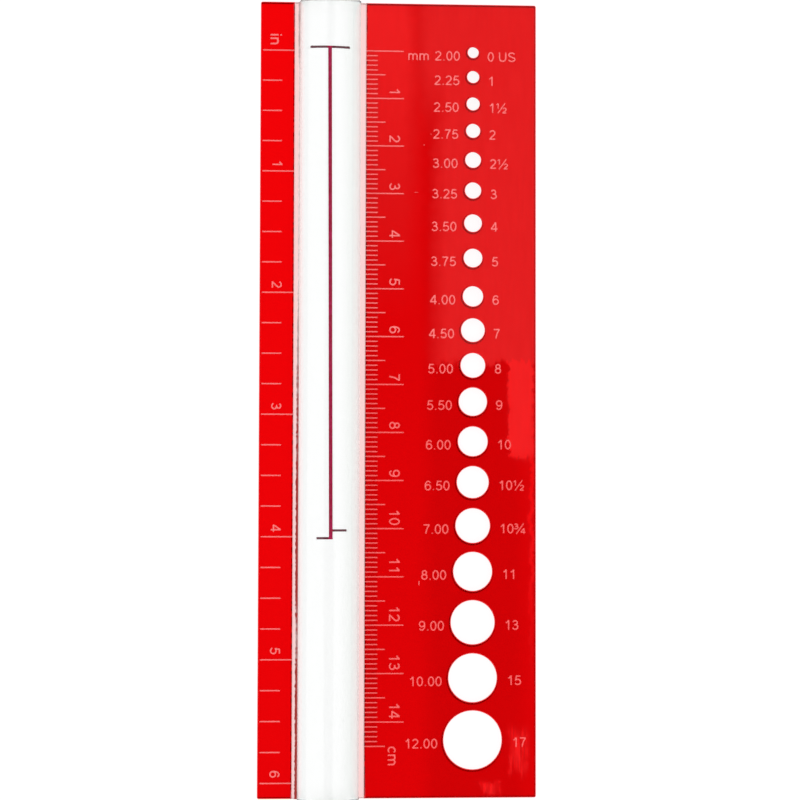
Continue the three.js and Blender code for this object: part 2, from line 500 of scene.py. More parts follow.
def inchMarks():
    marks = []
    start = inchPlateLow.x + inchScale["edgeMargin"]
    zero = scaleZero - inchScale["slip"]
    for i in range(inchScale["inches"] * inchScale["divisions"] + 1):
        down = i * inch / inchScale["divisions"]
        end = start + inchScale["quarter"] + inchScale["aslant"] * down
        if i % inchScale["divisions"] == 0:
            end = inchPlateHigh.x + sheetCuts["pastEdge"]
        marks.append(scaleMark(start, end, zero - down))
    height = lettering["inchHeight"]
    base = inchPlateLow.x + inchScale["numeralBase"]
    for whole in range(1, inchScale["inches"] + 1):
        gap = inchScale["numeralGap"] + inchScale["numeralGapStep"] * whole
        start = zero - whole * inch + gap + wordWidth(str(whole), height)
        marks += wordQuads(str(whole), height, (base, start), along=(0, -1))
    unitPlace = (inchPlateLow.x + inchScale["unitBase"], zero + inchScale["unitRise"])
    marks += wordQuads("in", lettering["unitHeight"], unitPlace, along=(0, -1))
    return marks


def sizeWords():
    marks = []
    height = lettering["sizeHeight"]
    bearing = lettering["sideBearing"] * height
    holes = placedHoles()
    first, last = holes[0][1], holes[-1][1]
    belowFirst, belowLast = lettering["belowFirstHole"], lettering["belowLastHole"]
    liftFirst, liftLast = lettering["otherLift"]
    for (_, centre, _), (needle, _, _, american) in zip(holes, needleHoles):
        share = (centre - last) / (first - last)
        below = belowLast + share * (belowFirst - belowLast)
        base = centre - below - height / 2
        word = f"{needle:.2f}"
        if needle == needleHoles[0][0]:
            word = "mm " + word
        end = lettering["metricEnd"] - lettering["metricEndStep"] * needle
        start = lettering["otherStart"] + lettering["otherStartStep"] * needle
        marks += wordQuads(word, height, (end + bearing - wordWidth(word, height), base))
        lift = liftLast + share * (liftFirst - liftLast)
        marks += wordQuads(american, height, (start - bearing, base + lift))
    return marks


# Nicks from handling: middle, width and height of each
nicks = [
    (4.47, -38.5, 0.26, 0.85),
    (6.83, 55.4, 0.22, 0.22),
    (5.37, 53.1, 0.2, 0.22),
    (3.76, 43.1, 0.8, 0.13),
]


def nickMarks():
    return [flatBar(x - wide / 2, x + wide / 2, y - tall / 2, y + tall / 2) for x, y, wide, tall in nicks]


edgeBubbles = {
    "count": 17,
    "start": 0.5,                # the lowest one's height over the scale's zero
    "step": 0.56,
    "stray": 0.08,
    "reach": 0.14,
    "reachSpread": (0.4, 1.6),   # least and most share of the reach, and of the height
    "height": 0.26,
    "heightSpread": (0.7, 1.1),
    "seed": 5,
}


def bubbleMarks():
    # small bubbles of cement bite into the bonded edge above the scale
    chance = random.Random(edgeBubbles["seed"])
    marks = []
    edge = sizePlateLow.x
    stray = edgeBubbles["stray"]
    for i in range(edgeBubbles["count"]):
        y = scaleZero + edgeBubbles["start"] + i * edgeBubbles["step"] + chance.uniform(-stray, stray)
        wide = edgeBubbles["reach"] * chance.uniform(*edgeBubbles["reachSpread"])
        tall = edgeBubbles["height"] * chance.uniform(*edgeBubbles["heightSpread"])
        marks.append(flatBar(edge - sheetCuts["pastEdge"], edge + wide, y - tall / 2, y + tall / 2))
    return marks


# Finishes

plasticRefraction = 1.49    # of acrylic and of its cement

# What of a noise shows: nothing up to the first number, all of it from the second
noiseLimits = {
    "smudge": (0.35, 0.7),
    "dash": (0.42, 0.58),
    "mottle": (0.42, 0.66),
    "wisp": (0.4, 0.6),
    "bubble": (0.55, 0.7),
    "wander": (0.3, 0.7),
    "streak": (0.4, 0.6),
}


def newFinish(name):
    material = bpy.data.materials.new(name)
    material.use_nodes = True
    tree = material.node_tree
    return material, tree, tree.nodes["Principled BSDF"]


def addNode(tree, kind, **settings):
    node = tree.nodes.new(kind)
    for name, value in settings.items():
        setattr(node, name, value)
    return node


def noiseOn(tree, scale, detail=2.0, stretch=(1, 1, 1)):
    place = addNode(tree, "ShaderNodeTexCoord")
    spread = addNode(tree, "ShaderNodeMapping")
    spread.inputs["Scale"].default_value = stretch
    noise = addNode(tree, "ShaderNodeTexNoise")
    noise.inputs["Scale"].default_value = scale
    noise.inputs["Detail"].default_value = detail
    tree.links.new(place.outputs["Object"], spread.inputs["Vector"])
    tree.links.new(spread.outputs["Vector"], noise.inputs["Vector"])
    return noise


def ramp(tree, source, fromLow, fromHigh, toLow=0.0, toHigh=1.0):
    node = addNode(tree, "ShaderNodeMapRange")
    tree.links.new(source, node.inputs["Value"])
    limits = {"From Min": fromLow, "From Max": fromHigh, "To Min": toLow, "To Max": toHigh}
    for name, value in limits.items():
        node.inputs[name].default_value = value
    return node.outputs["Result"]


def fade(tree, source, fromLow, fromHigh, toLow=0.0, toHigh=1.0):
    # a ramp with its limits in millimetres
    return ramp(tree, source, fromLow * mm, fromHigh * mm, toLow, toHigh)


def blendValues(tree, factor, first, second):
    node = addNode(tree, "ShaderNodeMix", data_type="FLOAT")
    tree.links.new(factor, node.inputs["Factor"])
    for socket, value in ((node.inputs["A"], first), (node.inputs["B"], second)):
        if isinstance(value, float):
            socket.default_value = value
        else:
            tree.links.new(value, socket)
    return node.outputs["Result"]


def blendColours(tree, factor, first, second):
    node = addNode(tree, "ShaderNodeMix", data_type="RGBA")
    tree.links.new(factor, node.inputs[0])
    for socket, value in ((node.inputs[6], first), (node.inputs[7], second)):
        if isinstance(value, tuple):
            socket.default_value = value
        else:
            tree.links.new(value, socket)
    return node.outputs[2]


def combine(tree, operation, *values):
    node = addNode(tree, "ShaderNodeMath", operation=operation)
    for socket, value in zip(node.inputs, values):
        if isinstance(value, (int, float)):
            socket.default_value = value
        else:
            tree.links.new(value, socket)
    return node.outputs[0]


def faceMark(tree, name):
    mark = addNode(tree, "ShaderNodeAttribute", attribute_name=name)
    return mark.outputs["Fac"]


def bumped(tree, noise, height, under=None):
    bump = addNode(tree, "ShaderNodeBump")
    bump.inputs["Distance"].default_value = height * mm
    tree.links.new(noise.outputs["Fac"], bump.inputs["Height"])
    if under:
        tree.links.new(under, bump.inputs["Normal"])
    return bump.outputs["Normal"]


def alongAxis(tree, axis):
    place = addNode(tree, "ShaderNodeTexCoord")
    parts = addNode(tree, "ShaderNodeSeparateXYZ")
    tree.links.new(place.outputs["Object"], parts.inputs[0])
    return parts.outputs[axis]


def smudged(tree, stock):
    # roughness of the polished faces, a little more where hands touched them
    smudge = noiseOn(tree, stock["smudgeScale"], detail=4.0)
    return ramp(tree, smudge.outputs["Fac"], *noiseLimits["smudge"], *stock["polished"])


redSheet = {
    "absorption": (0.985, 0.01, 0.15),
    "density": 3500.0,
    "polished": (0.01, 0.03),    # roughness, clean and smudged
    "smudgeScale": 90,
    "engravedColour": (1, 0.18, 0.175, 1),
    "paintedReflectionColour": (1, 0.26, 0.255, 1),    # painted reflection: the marks nearer the scales' zero, and the inch plate's, are lighter
    "paintedReflectionFrom": 0,
    "paintedReflectionTo": 14,
    "engravedRoughness": 0.5,
    "engravedTransmission": 0.12,
    "cutColour": (0.95, 0.006, 0.012, 1),
    "cutRoughness": 0.4,
    "cutTransmission": 0.15,
    "bondedColour": (0.3, 0.02, 0.025, 1),
    "bondedReach": 0.3,          # how far in the bonded edges are dark
    "bondedSolid": 0.7,          # and the share of it that is fully dark
    "dashScale": 900,
    "dashStretch": (0.05, 1, 0.05),
    "dashPale": 0.3,             # how dark they stay between the dashes
    "waveScale": 60,
    "waveStretch": (1.6, 0.7, 1),
    "waveHeight": 0.0015,        # slow waves of the cast sheet, and fine lines along it
    "lineScale": 500,
    "lineStretch": (1, 0.06, 1),
    "lineHeight": 0.0001,
}


def bondedEdges(tree):
    # the plates' inner edges are dark, in dashes
    x = alongAxis(tree, "X")
    reach, solid = redSheet["bondedReach"], redSheet["bondedSolid"]
    inchEdge, sizeEdge = inchPlateHigh.x, sizePlateLow.x
    left = fade(tree, x, inchEdge - reach, inchEdge - solid * reach)
    leftEnd = combine(tree, "LESS_THAN", x, (inchEdge + reach) * mm)
    right = fade(tree, x, sizeEdge + solid * reach, sizeEdge + reach, 1.0, 0.0)
    rightEnd = combine(tree, "GREATER_THAN", x, (sizeEdge - reach) * mm)
    alongInch = combine(tree, "MULTIPLY", left, leftEnd)
    alongSize = combine(tree, "MULTIPLY", right, rightEnd)
    both = combine(tree, "MAXIMUM", alongInch, alongSize)
    grain = noiseOn(tree, redSheet["dashScale"], detail=1.0, stretch=redSheet["dashStretch"])
    dashes = ramp(tree, grain.outputs["Fac"], *noiseLimits["dash"], redSheet["dashPale"], 1.0)
    return combine(tree, "MULTIPLY", both, dashes)


def tintedAcrylic():
    material, tree, shader = newFinish("tintedAcrylic")
    shader.inputs["IOR"].default_value = plasticRefraction
    engraved = faceMark(tree, "engraved")
    cut = faceMark(tree, "cutEdge")
    edged = blendValues(tree, cut, smudged(tree, redSheet), redSheet["cutRoughness"])
    rough = blendValues(tree, engraved, edged, redSheet["engravedRoughness"])
    tree.links.new(rough, shader.inputs["Roughness"])
    cutTint = blendColours(tree, cut, (1, 1, 1, 1), redSheet["cutColour"])
    bondedTint = blendColours(tree, bondedEdges(tree), cutTint, redSheet["bondedColour"])
    # painted reflection: the marks are lighter towards the top and on the inch plate
    north = fade(tree, alongAxis(tree, "Y"), redSheet["paintedReflectionFrom"], redSheet["paintedReflectionTo"])
    onInchPlate = fade(tree, alongAxis(tree, "X"), rodAxis, rodAxis - 1)
    paintedReflection = combine(tree, "MAXIMUM", north, onInchPlate)
    markTint = blendColours(tree, paintedReflection, redSheet["engravedColour"], redSheet["paintedReflectionColour"])
    tree.links.new(blendColours(tree, engraved, bondedTint, markTint), shader.inputs["Base Color"])
    cutThrough = blendValues(tree, cut, 1.0, redSheet["cutTransmission"])
    through = blendValues(tree, engraved, cutThrough, redSheet["engravedTransmission"])
    tree.links.new(through, shader.inputs["Transmission Weight"])
    waveNoise = noiseOn(tree, redSheet["waveScale"], stretch=redSheet["waveStretch"])
    wave = bumped(tree, waveNoise, redSheet["waveHeight"])
    lineNoise = noiseOn(tree, redSheet["lineScale"], stretch=redSheet["lineStretch"])
    lines = bumped(tree, lineNoise, redSheet["lineHeight"], wave)
    tree.links.new(lines, shader.inputs["Normal"])
    depth = addNode(tree, "ShaderNodeVolumeAbsorption")
    depth.inputs["Color"].default_value = (*redSheet["absorption"], 1)
    depth.inputs["Density"].default_value = redSheet["density"]
    tree.links.new(depth.outputs["Volume"], tree.nodes["Material Output"].inputs["Volume"])
    return material


clearStock = {
    "colour": (0.998, 0.998, 0.996, 1),
    "polished": (0.0, 0.02),
    "smudgeScale": 120,
    "cutRoughness": 0.1,
    "cutTransmission": 0.5,
    "paintedRoughness": 0.5,
    "specular": 0.35,
    # painted red light on the strip's shoulders beside the plates
    "paintedRedLightColour": (1, 0.68, 0.67, 1),
    "redLightReach": 1.5,
    "redLightSolid": 0.6,           # share of the reach that is fully red
    "paintedShadeGrey": (0.945, 0.95, 0.94, 1),    # painted shade greys the rod's right flank, and grey wisps lie near its ends
    "flankShadeFrom": 1.9,
    "flankShadeTo": 2.9,
    "wispReach": 3.5,
    "wispScale": 260,
}

paintedLine = {
    "barWidth": 0.52,
    "tickWidth": 0.47,
    "crossbar": 5.65,
    "centimetreTick": 2.25,
    "inchTick": 2.0,
    "centimetreReach": 100,
    "inchReach": 4 * inch,
    "blob": 0.27,        # half width of the paint that ran out at the crossbar's ends
    "blobRise": 0.02,
    "blobSteps": 12,
    "aside": -0.076,     # how far off the rod's middle, and above the scales' zero, it was laid
    "rise": 0.24,
    "overrun": 0.56,     # and how much too long the line is
    "lean": 0.2,         # degrees, as it was laid by hand
    "crossbarTilt": -1.2,
    "sideGap": 0.008,    # hair of air between the paint and its groove, beside and below it
    "faceGap": 0.005,
    "mottleScale": 1600,
    "colours": ((0.43, 0.0, 0.04, 1), (0.53, 0.004, 0.095, 1)),
    "roughness": 0.5,
    "thickColour": (0.13, 0.0, 0.018, 1),
    "thickFrom": 0.55,   # how far from the upright's middle the thick paint starts, in its widths
    "thickTo": 0.8,
}


def mottledPaint(tree):
    # the paint lies thicker in the crossbar and the ticks
    mottle = noiseOn(tree, paintedLine["mottleScale"], detail=3.0)
    patch = ramp(tree, mottle.outputs["Fac"], *noiseLimits["mottle"])
    lean = math.sin(math.radians(paintedLine["lean"]))
    middle = rodAxis + paintedLine["aside"] + lean * scaleZero
    leaned = combine(tree, "MULTIPLY_ADD", alongAxis(tree, "Y"), lean, alongAxis(tree, "X"))
    away = combine(tree, "ABSOLUTE", combine(tree, "SUBTRACT", leaned, middle * mm))
    width = paintedLine["barWidth"]
    thick = fade(tree, away, width * paintedLine["thickFrom"], width * paintedLine["thickTo"])
    thin = blendColours(tree, patch, *paintedLine["colours"])
    return blendColours(tree, thick, thin, paintedLine["thickColour"])


def clearAcrylic():
    material, tree, shader = newFinish("clearAcrylic")
    shader.inputs["IOR"].default_value = plasticRefraction
    cut = faceMark(tree, "cutEdge")
    painted = faceMark(tree, "engraved")
    edged = blendValues(tree, cut, smudged(tree, clearStock), clearStock["cutRoughness"])
    rough = blendValues(tree, painted, edged, clearStock["paintedRoughness"])
    tree.links.new(rough, shader.inputs["Roughness"])
    cutThrough = blendValues(tree, cut, 1.0, clearStock["cutTransmission"])
    through = blendValues(tree, painted, cutThrough, 0.0)
    tree.links.new(through, shader.inputs["Transmission Weight"])
    shader.inputs["Specular IOR Level"].default_value = clearStock["specular"]
    # painted red light: the strip's shoulders turn pink beside the red plates
    x = alongAxis(tree, "X")
    reach, solid = clearStock["redLightReach"], clearStock["redLightSolid"]
    left = fade(tree, x, stripLow.x + solid * reach, stripLow.x + reach, 1.0, 0.0)
    right = fade(tree, x, stripHigh.x - reach, stripHigh.x - solid * reach)
    redLight = combine(tree, "MAXIMUM", left, right)
    # painted shade on the rod's right flank, and grey wisps near its ends
    flankShade = fade(tree, x, rodAxis + clearStock["flankShadeFrom"], rodAxis + clearStock["flankShadeTo"])
    fromMiddle = combine(tree, "ABSOLUTE", alongAxis(tree, "Y"))
    nearEnd = fade(tree, fromMiddle, topEdge - clearStock["wispReach"], topEdge)
    wispNoise = noiseOn(tree, clearStock["wispScale"], detail=3.0)
    wisps = ramp(tree, wispNoise.outputs["Fac"], *noiseLimits["wisp"])
    shadeAndWisps = combine(tree, "MAXIMUM", flankShade, combine(tree, "MULTIPLY", nearEnd, wisps))
    stock = blendColours(tree, shadeAndWisps, clearStock["colour"], clearStock["paintedShadeGrey"])
    redLitTint = blendColours(tree, redLight, stock, clearStock["paintedRedLightColour"])
    tree.links.new(blendColours(tree, painted, redLitTint, mottledPaint(tree)), shader.inputs["Base Color"])
    return material


cement = {
    "clear": (0.99, 1, 1, 1),
    "redLitTint": (1, 0.62, 0.6, 1),    # painted red light, in the bonds against the plates
    "cloudy": (0.975, 0.985, 0.98, 1),
    "darkened": (0.36, 0.022, 0.018, 1),    # dark where it squeezed out beside the rod
    "bubbleScale": 2500,
    "clearRoughness": 0.03,
    "cloudyRoughness": 0.2,
    "specular": 0.15,
}


def curedCement(name, clear):
    material, tree, shader = newFinish(name)
    shader.inputs["IOR"].default_value = plasticRefraction
    bubbles = noiseOn(tree, cement["bubbleScale"])
    cloud = ramp(tree, bubbles.outputs["Fac"], *noiseLimits["bubble"])
    tint = blendColours(tree, cloud, clear, cement["cloudy"])
    darkened = faceMark(tree, "darkened")
    tree.links.new(blendColours(tree, darkened, tint, cement["darkened"]), shader.inputs["Base Color"])
    rough = blendValues(tree, cloud, cement["clearRoughness"], cement["cloudyRoughness"])
    tree.links.new(rough, shader.inputs["Roughness"])
    tree.links.new(blendValues(tree, darkened, 1.0, 0.0), shader.inputs["Transmission Weight"])
    shader.inputs["Specular IOR Level"].default_value = cement["specular"]
    return material


def crimsonPaint():
    material, tree, shader = newFinish("crimsonPaint")
    tree.links.new(mottledPaint(tree), shader.inputs["Base Color"])
    shader.inputs["Roughness"].default_value = paintedLine["roughness"]
    shader.inputs["Specular IOR Level"].default_value = 0.0
    return material


finishes = {
    "tinted": tintedAcrylic(),
    "clear": clearAcrylic(),
    "cement": curedCement("curedCement", cement["clear"]),
    "redLitCement": curedCement("redLitCement", cement["redLitTint"]),
    "paint": crimsonPaint(),
}
print("finishes ready")


# The two tinted plates, cut and engraved

def plate(name, node, innerEdge, outerEdge, holes, marks):
    outline = [(plateRing(innerEdge, outerEdge, inset), drop) for inset, drop in rimSteps()]
    steps = sheetCuts["holeSteps"]
    holeRings = []
    for x, y, radius in holes:
        holeRings.append([(flatRing(x, y, radius + inset, radius + inset, steps), drop)
                          for inset, drop in rimSteps()])
    plan = layPlan(outline, holeRings, marks)
    flareHoles(plan, holes)
    mesh = sheetFromPlan(plan, 0, sheetThickness, sheetThickness - sheetCuts["markDepth"])
    piece = asObject(name, mesh, finishes["tinted"])
    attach(piece, "root")
    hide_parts(node)


plate("sizePlate", "size_plate", sizePlateLow.x, sizePlateHigh.x, cutHoles(),
      centimetreMarks() + sizeWords() + nickMarks() + bubbleMarks())
plate("inchPlate", "inch_plate", inchPlateHigh.x, inchPlateLow.x, [], inchMarks())
print("plates cut and engraved")


# The clear strip, its bonds, the magnifier and the painted line

bonds = {
    "seam": 0.01,        # hair of air on either side of a bond, so that no two clear faces coincide
    "stripEase": 0.08,   # how far the strip's long edges are eased, and the bonds'
    "edgeEase": 0.02,
    "filmEase": 0.01,
    "filmInset": 0.03,   # how far the film under the rod stays back from the rod's edges
    "smoothAngle": 20,   # degrees up to which faces are shaded as one, and for the bead beside the rod
    "beadAngle": 40,
}
seam = bonds["seam"]


def easedBox(low, high, ease):
    mesh = bmesh.new()
    mesh.faces.layers.float.new("engraved")
    cutEdge = mesh.faces.layers.float.new("cutEdge")
    bmesh.ops.create_cube(mesh, size=1)
    size = high - low
    bmesh.ops.scale(mesh, vec=size, verts=mesh.verts)
    bmesh.ops.translate(mesh, vec=(low + high) / 2, verts=mesh.verts)
    for face in mesh.faces:
        if abs(face.normal.y) > 0.5:
            face[cutEdge] = 1.0
    ends = [e for e in mesh.edges if abs(e.verts[0].co.y - e.verts[1].co.y) < 1e-6]
    bmesh.ops.bevel(mesh, geom=ends, offset=ease, segments=2, affect="EDGES", profile=0.5)
    return mesh


def shrunk(low, high, gapX=0.0, gapZ=0.0):
    gap = Vector((gapX, 0, gapZ))
    return low + gap, high - gap


stripMesh = easedBox(stripLow, stripHigh, bonds["stripEase"])
strip = asObject("clearStrip", stripMesh, finishes["clear"], bonds["smoothAngle"])
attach(strip, "root")
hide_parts("clear_strip")
for name, node in (("inchEdgeBond", "inch_edge_bond"), ("sizeEdgeBond", "size_edge_bond")):
    shape = easedBox(*shrunk(*nodeBox(node), gapX=seam), bonds["edgeEase"])
    # the edge bonds carry painted red light, a pink tint beside the plates
    bead = asObject(name, shape, finishes["redLitCement"], bonds["smoothAngle"])
    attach(bead, "root")
    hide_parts(node)


squeezedBead = {
    "width": 0.52,
    "height": 0.28,
    "step": 0.35,
    "seed": 7,
    "profile": [(0, 0), (0, 1), (0.45, 0.72), (0.85, 0.3), (1, 0)],    # out from the rod, and up it
    "widthShares": (0.45, 0.55),     # of the width that is always there, and that grows with the amount
    "heightShares": (0.4, 0.6),
    "amountSpread": (0.75, 1.15),    # least and most share of the amount, and of the width
    "widthSpread": (0.8, 1.1),
    "darkenedShares": (1.6, 0.35, 0.1),    # how dark it is with the amount, less outwards, less overall
    # how much came out, from the zero end to the far end of the rod
    "amount": [(0, 0.5), (0.06, 0.4), (0.09, 0.2), (0.35, 0.25), (0.45, 0.6), (0.6, 0.95), (0.74, 1.05),
               (0.8, 0.6), (0.86, 1), (1, 1.05)],
}


def amountAt(share):
    stations = squeezedBead["amount"]
    for (a, first), (b, second) in zip(stations, stations[1:]):
        if share <= b:
            return first + (second - first) * (share - a) / (b - a)
    return stations[-1][1]


def squeezeOut(mesh, corner, outward, floorZ):
    # a thin uneven bead of cement in the corner beside the rod
    darkened = mesh.verts.layers.float["darkened"]
    chance = random.Random(squeezedBead["seed"])
    length = rodHigh.y - rodLow.y
    count = round(length / squeezedBead["step"])
    profile = squeezedBead["profile"]
    leastWide, moreWide = squeezedBead["widthShares"]
    leastTall, moreTall = squeezedBead["heightShares"]
    byAmount, outwards, overall = squeezedBead["darkenedShares"]
    rows = []
    for i in range(count + 1):
        y = rodHigh.y - length * i / count
        amount = amountAt(i / count) * chance.uniform(*squeezedBead["amountSpread"])
        wide = squeezedBead["width"] * (leastWide + moreWide * amount)
        wide *= chance.uniform(*squeezedBead["widthSpread"])
        tall = squeezedBead["height"] * (leastTall + moreTall * amount)
        row = []
        for across, up in profile:
            vert = mesh.verts.new((corner + outward * across * wide, y, floorZ + up * tall))
            vert[darkened] = max(0.0, min(1.0, byAmount * amount - outwards * across - overall))
            row.append(vert)
        rows.append(row)
    for upper, lower in zip(rows, rows[1:]):
        for i in range(len(profile)):
            j = (i + 1) % len(profile)
            mesh.faces.new([upper[i], upper[j], lower[j], lower[i]])
    mesh.faces.new(rows[0][::-1])
    mesh.faces.new(rows[-1])


def rodBondMesh():
    low, high = nodeBox("rod_bond")
    mesh = easedBox(*shrunk(low, high, gapX=bonds["filmInset"], gapZ=seam), bonds["filmEase"])
    mesh.verts.layers.float.new("darkened")
    squeezeOut(mesh, low.x - seam, -1, low.z + seam)
    bmesh.ops.recalc_face_normals(mesh, faces=mesh.faces)
    return mesh


film = asObject("rodBond", rodBondMesh(), finishes["cement"], bonds["beadAngle"])
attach(film, "root")
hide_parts("rod_bond")


def lineBars(ease=0.0):
    # the painted line's bars and blobs, leaning a little about the middle of the crossbar
    half = paintedLine["barWidth"] / 2 - ease
    thin = paintedLine["tickWidth"] / 2 - ease
    reach = paintedLine["inchReach"] + paintedLine["overrun"]
    tickReach = paintedLine["centimetreReach"] + paintedLine["overrun"]
    wide = paintedLine["crossbar"] / 2
    tilt = math.tan(math.radians(paintedLine["crossbarTilt"]))
    crossbar = [(x, y + tilt * x) for x, y in flatBar(-wide + ease, wide - ease, -thin, thin)]
    bars = [
        flatBar(-half, half, -reach - thin, thin),
        crossbar,
        flatBar(0, paintedLine["centimetreTick"] - ease, -tickReach - thin, -tickReach + thin),
        flatBar(-paintedLine["inchTick"] + ease, 0, -reach - thin, -reach + thin),
    ]
    blob = paintedLine["blob"] - ease
    for end in (-1, 1):
        blobX = end * (wide - paintedLine["blob"])
        blobY = paintedLine["blobRise"] + tilt * blobX
        bars.append(flatRing(blobX, blobY, blob, blob, paintedLine["blobSteps"]))
    lean = math.radians(paintedLine["lean"])
    middle = rodAxis + paintedLine["aside"]
    zero = scaleZero + paintedLine["rise"]
    placed = []
    for bar in bars:
        placed.append([(middle + x * math.cos(lean) - y * math.sin(lean),
                        zero + x * math.sin(lean) + y * math.cos(lean)) for x, y in bar])
    return placed


magnifier = {
    "steps": 160,        # along the half circle
    "sameCorner": 1e-3,
    "smoothAngle": 30,
}


def magnifierRod():
    steps = magnifier["steps"]
    radius = (rodHigh.x - rodLow.x) / 2
    base = rodLow.z
    grooveTop = paintHigh.z
    outline = flatBar(rodLow.x, rodHigh.x, rodLow.y, rodHigh.y)
    plan = layPlan([(outline, 0)], [], lineBars())
    mesh = bmesh.new()
    painted = mesh.faces.layers.float.new("engraved")
    cutEdge = mesh.faces.layers.float.new("cutEdge")
    made = {}

    def corner(z, i):
        if (z, i) not in made:
            made[z, i] = mesh.verts.new((*plan["points"][i], z))
        return made[z, i]

    for a, b, c in plan["plain"]:
        mesh.faces.new([corner(base, c), corner(base, b), corner(base, a)])
    for a, b, c in plan["pocket"]:
        roof = [corner(grooveTop, c), corner(grooveTop, b), corner(grooveTop, a)]
        mesh.faces.new(roof)[painted] = 1.0
    for a, b in planEdges(plan["pocket"]):
        wall = [corner(base, a), corner(base, b), corner(grooveTop, b), corner(grooveTop, a)]
        mesh.faces.new(wall)[painted] = 1.0
    ends = {}
    for y in (rodLow.y, rodHigh.y):
        verts = []
        for i in range(steps + 1):
            turn = math.pi * i / steps
            place = Vector((rodAxis + radius * math.cos(turn), y, base + radius * math.sin(turn)))
            if i in (0, steps):    # the half circle ends on corners of the flat face
                place.z = base
                near = (v for v in mesh.verts if (v.co - place).length < magnifier["sameCorner"])
                verts.append(next(near))
            else:
                verts.append(mesh.verts.new(place))
        ends[y] = verts
    low, high = ends[rodLow.y], ends[rodHigh.y]
    for i in range(steps):
        mesh.faces.new([low[i], high[i], high[i + 1], low[i + 1]])
    mesh.faces.new(low)[cutEdge] = 1.0
    mesh.faces.new(high[::-1])[cutEdge] = 1.0
    bmesh.ops.recalc_face_normals(mesh, faces=mesh.faces)
    return asObject("magnifierRod", mesh, finishes["clear"], magnifier["smoothAngle"])


rod = magnifierRod()
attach(rod, "root")
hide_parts("magnifier_rod")


def paintFill():
    outline = flatBar(rodLow.x, rodHigh.x, rodLow.y, rodHigh.y)
    plan = layPlan([(outline, 0)], [], lineBars(ease=paintedLine["sideGap"]))
    fill = {**plan, "plain": plan["pocket"], "pocket": []}
    gap = paintedLine["faceGap"]
    mesh = sheetFromPlan(fill, paintLow.z + gap, paintHigh.z - gap, paintHigh.z)
    return asObject("gaugeLine", mesh, finishes["paint"])


line = paintFill()
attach(line, "root")
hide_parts("gauge_line")
print("strip, bonds, rod and painted line placed")


# Floor, light and camera

studio = {
    "cameraHeight": 400.0,       # above the top of the plates
    "turnForward": -1.05 / 200,  # degrees for each millimetre of height
    "turnSideways": 1.49 / 200,
    "roll": -0.145,
    "sideStep": -0.435,
    "upStep": 0.436,
    "pixelsPerMillimetre": 4.7986,
    "floorGap": 0.02,
    "floorGlow": 0.9,            # seen straight, which leaves the shadow
    "floorGlowThrough": 0.98,    # seen through plastic
    "wideShade": 0.33,           # less of it under the wide plate, away from the panels' light
    "narrowShade": 0.12,         # and under the lower end of the narrow plate
    "scaleShade": 0.14,          # and less again under the close centimetre marks
    "wideShadeSoft": 0.2,        # how wide the soft edges of those shades are
    "scaleShadeSoft": 0.3,
    "scaleShadeFades": (-0.3, 0.4),    # where the last one fades, in shares of the way to the top edge
    "scaleShadeLeft": 0.4,       # and how much of it is left there
    "floorHalf": 700,
    "floorAlbedo": 0.16,
    "floorMottle": 0.985,        # albedo of its darker patches, as a share
    "floorMottleScale": 30,
    "floorRoughness": 0.9,
    "floorSpecular": 0.1,
    "ringStrength": 1.25,
    "overheadDark": 0.006,
    "overheadFrom": (0.93, 0.96),      # how steeply overhead the dark starts, and is full
    # how far a panel's edge wanders across and along, and how wide the steps are,
    # in millimetres on the plates
    "ragged": [(0.45, 0.9, 1.6), (0.2, 0.6, 0.4)],
    "raggedGrains": ((4, 1.5), (1, 8)),    # width and length of a step, for wandering across and along
    "streakGrain": (0.5, 7),
    "focalTrim": 0.6,            # pixels off the focal length
    "frameWidth": 800,
    "sensorWidth": 36.0,
}


def whatIsSeen(tree):
    # what the camera sees straight, and what it sees through clear plastic, but no light on its way
    path = addNode(tree, "ShaderNodeLightPath")
    first = combine(tree, "LESS_THAN", path.outputs["Diffuse Depth"], 0.5)
    through = combine(tree, "MULTIPLY", path.outputs["Is Transmission Ray"], first)
    return path.outputs["Is Camera Ray"], through


def cameraTurn():
    height = studio["cameraHeight"]
    return (Matrix.Rotation(math.radians(-studio["turnSideways"] * height), 3, "Y")
            @ Matrix.Rotation(math.radians(-studio["turnForward"] * height), 3, "X")
            @ Matrix.Rotation(math.radians(-studio["roll"]), 3, "Z"))


def cameraPlace():
    place = cameraTurn() @ Vector((-studio["sideStep"], -studio["upStep"], studio["cameraHeight"]))
    place.z += sheetThickness
    return place


# Soft overhead panels. Each is given by where the plates mirror it to the camera: west, east, south
# and north edge, and how soft its edges are across and along, all in millimetres on the plates.
# "lit" is how far it lights the floor under the wide plate, "streaks" how streaky it is
ceilingPanels = [
    {"edges": (8.0, 90, 7.4, 120), "soft": (2.2, 0.4), "strength": 0.37, "lit": 0.52, "streaks": 0.2},
    {"edges": (4.2, 90, 61, 120), "soft": (2.6, 9), "strength": 0.37, "lit": 0.52, "streaks": 0.2},
    {"edges": (23.3, 28.4, -12.4, 8), "soft": (0.15, 0.25), "strength": 0.4, "lit": 1.0, "streaks": 0.15},
    {"edges": (27.7, 28.6, -48, 8), "soft": (0.2, 18), "strength": 0.16, "lit": 0.9, "streaks": 0.1},
    {"edges": (-12, 3.8, 45, 120), "soft": (2.5, 30), "strength": 0.35, "lit": 0.8, "streaks": 0.15},
    {"edges": (-12, 6.2, -120, 120), "soft": (2, 5), "strength": 0.0, "lit": 0.32, "streaks": 0.0},
    {"edges": (26.5, 90, -120, 8), "soft": (2, 5), "strength": 0.0, "lit": 0.3, "streaks": 0.0},
    {"edges": (23.4, 27.3, -78, -69), "soft": (0.4, 1.2), "strength": 0.35, "lit": 1.0, "streaks": 0.9},
    {"edges": (17.6, 21.7, -82.6, -80), "soft": (0.3, 0.4), "strength": 0.35, "lit": 1.0, "streaks": 0.8},
]


